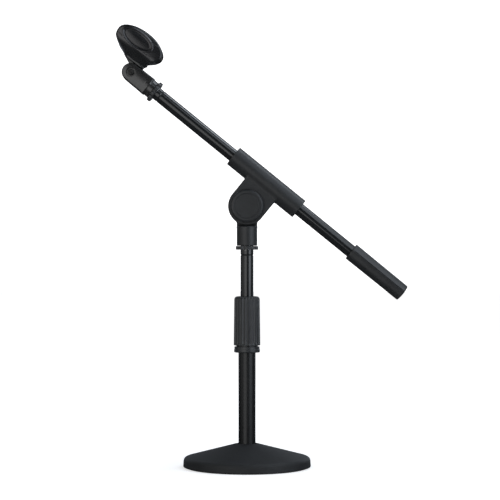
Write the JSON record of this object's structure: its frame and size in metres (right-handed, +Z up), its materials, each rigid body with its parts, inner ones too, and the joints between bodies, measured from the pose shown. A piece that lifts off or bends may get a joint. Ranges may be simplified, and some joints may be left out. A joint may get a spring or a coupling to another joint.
{
  "type": "boom microphone stand",
  "caption": "Desktop boom microphone stand: round cast foot, telescoping upright with twist clutch, tilting and sliding boom with counterweight, and a sprung clip on a tilting yoke.",
  "frame": {"origin": "middle of the foot's underside, on the surface that the stand rests on", "axes": "+Z up the upright; the boom swings in the XZ plane with its counterweight towards +X; -Y is the front, where the round cap is"},
  "size_m": [0.3572, 0.1562, 0.5401],
  "materials": {
    "base_iron": "satin black paint on cast iron",
    "foot_rubber": "matte",
    "zinc_steel": "bright zinc",
    "lower_tube_paint": "satin black",
    "gloss_tube_paint": "gloss black",
    "clutch_plastic": "satin black",
    "head_plastic": "fine matte black",
    "knob_plastic": "fine matte black",
    "nylon": "black nylon",
    "lock_ring_metal": "satin black",
    "brass": "turned",
    "fibre": "pressed fibre",
    "core_iron": "as cast",
    "weight_grip": "satin black",
    "yoke_plastic": "satin black",
    "black_screw": "blackened steel",
    "clip_rubber": "smooth satin rubber"
  },
  "bodies": {
    "base": {"base_casting": "base_iron", "base_rubber_ring": "foot_rubber", "base_bolt": "zinc_steel", "base_flat_washer": "zinc_steel", "base_spring_washer": "zinc_steel", "lower_tube": "lower_tube_paint", "lower_tube_plug": "zinc_steel", "clutch_seat": "clutch_plastic", "clutch_collet": "nylon"},
    "clutch_grip": {"clutch_grip": "clutch_plastic"},
    "upper_tube": {"upper_tube": "gloss_tube_paint", "upper_tube_stud": "zinc_steel", "tube_guide_bush": "nylon"},
    "upper_lock_ring": {"upper_lock_ring": "lock_ring_metal"},
    "swivel": {"swivel_socket": "head_plastic", "socket_thread_insert": "brass"},
    "boom_head": {"boom_holder": "head_plastic", "sleeve_bush_clip_end": "nylon", "sleeve_bush_weight_end": "nylon", "clamp_shoe": "nylon", "pivot_bolt": "zinc_steel", "pivot_cap": "head_plastic", "friction_washer": "fibre"},
    "pivot_knob": {"pivot_knob": "knob_plastic", "knob_insert": "brass", "pivot_washer": "zinc_steel"},
    "boom": {"boom_rod": "gloss_tube_paint", "boom_stud": "zinc_steel", "counterweight_core": "core_iron", "counterweight_grip": "weight_grip"},
    "boom_lock_ring": {"boom_lock_ring": "lock_ring_metal"},
    "clip_yoke": {"clip_yoke": "yoke_plastic", "yoke_thread_insert": "brass", "clip_screw": "black_screw", "clip_nut": "zinc_steel", "clip_lock_washer": "zinc_steel"},
    "mic_clip": {"mic_clip": "clip_rubber"}
  },
  "joints": [
    {"name": "clutch_twist", "type": "hinge", "parent": "base", "child": "clutch_grip", "pos_m": [0, 0, 0.18], "axis": [0, 0, 1], "range_deg": [0, 150]},
    {"name": "height_slide", "type": "slide", "parent": "base", "child": "upper_tube", "axis": [0, 0, 1], "range_m": [-0.05, 0.055]},
    {"name": "upper_lock_ring_turn", "type": "hinge", "parent": "upper_tube", "child": "upper_lock_ring", "pos_m": [0, 0, 0.2685], "axis": [0, 0, 1], "range_deg": [-360, 0]},
    {"name": "head_pan", "type": "hinge", "parent": "upper_tube", "child": "swivel", "pos_m": [0, 0, 0.28], "axis": [0, 0, 1], "range_deg": [-180, 180]},
    {"name": "boom_tilt", "type": "hinge", "parent": "swivel", "child": "boom_head", "pos_m": [0, 0, 0.3193], "axis": [0, 1, 0], "range_deg": [-85, 30]},
    {"name": "pivot_knob_turn", "type": "hinge", "parent": "boom_head", "child": "pivot_knob", "pos_m": [0, 0.022, 0.3193], "axis": [0, 1, 0], "range_deg": [0, 360]},
    {"name": "boom_slide", "type": "slide", "parent": "boom_head", "child": "boom", "axis": [-0.776, 0, 0.6307], "range_m": [-0.04, 0.075]},
    {"name": "boom_lock_ring_turn", "type": "hinge", "parent": "boom", "child": "boom_lock_ring", "pos_m": [-0.11267, 0, 0.45893], "axis": [-0.776, 0, 0.6307], "range_deg": [-360, 0]},
    {"name": "clip_turn", "type": "hinge", "parent": "boom", "child": "clip_yoke", "pos_m": [-0.12043, 0, 0.46524], "axis": [-0.776, 0, 0.6307], "range_deg": [-180, 180]},
    {"name": "clip_tilt", "type": "hinge", "parent": "clip_yoke", "child": "mic_clip", "pos_m": [-0.1417, 0, 0.48252], "axis": [0, 1, 0], "range_deg": [-170, 0]}
  ]
}
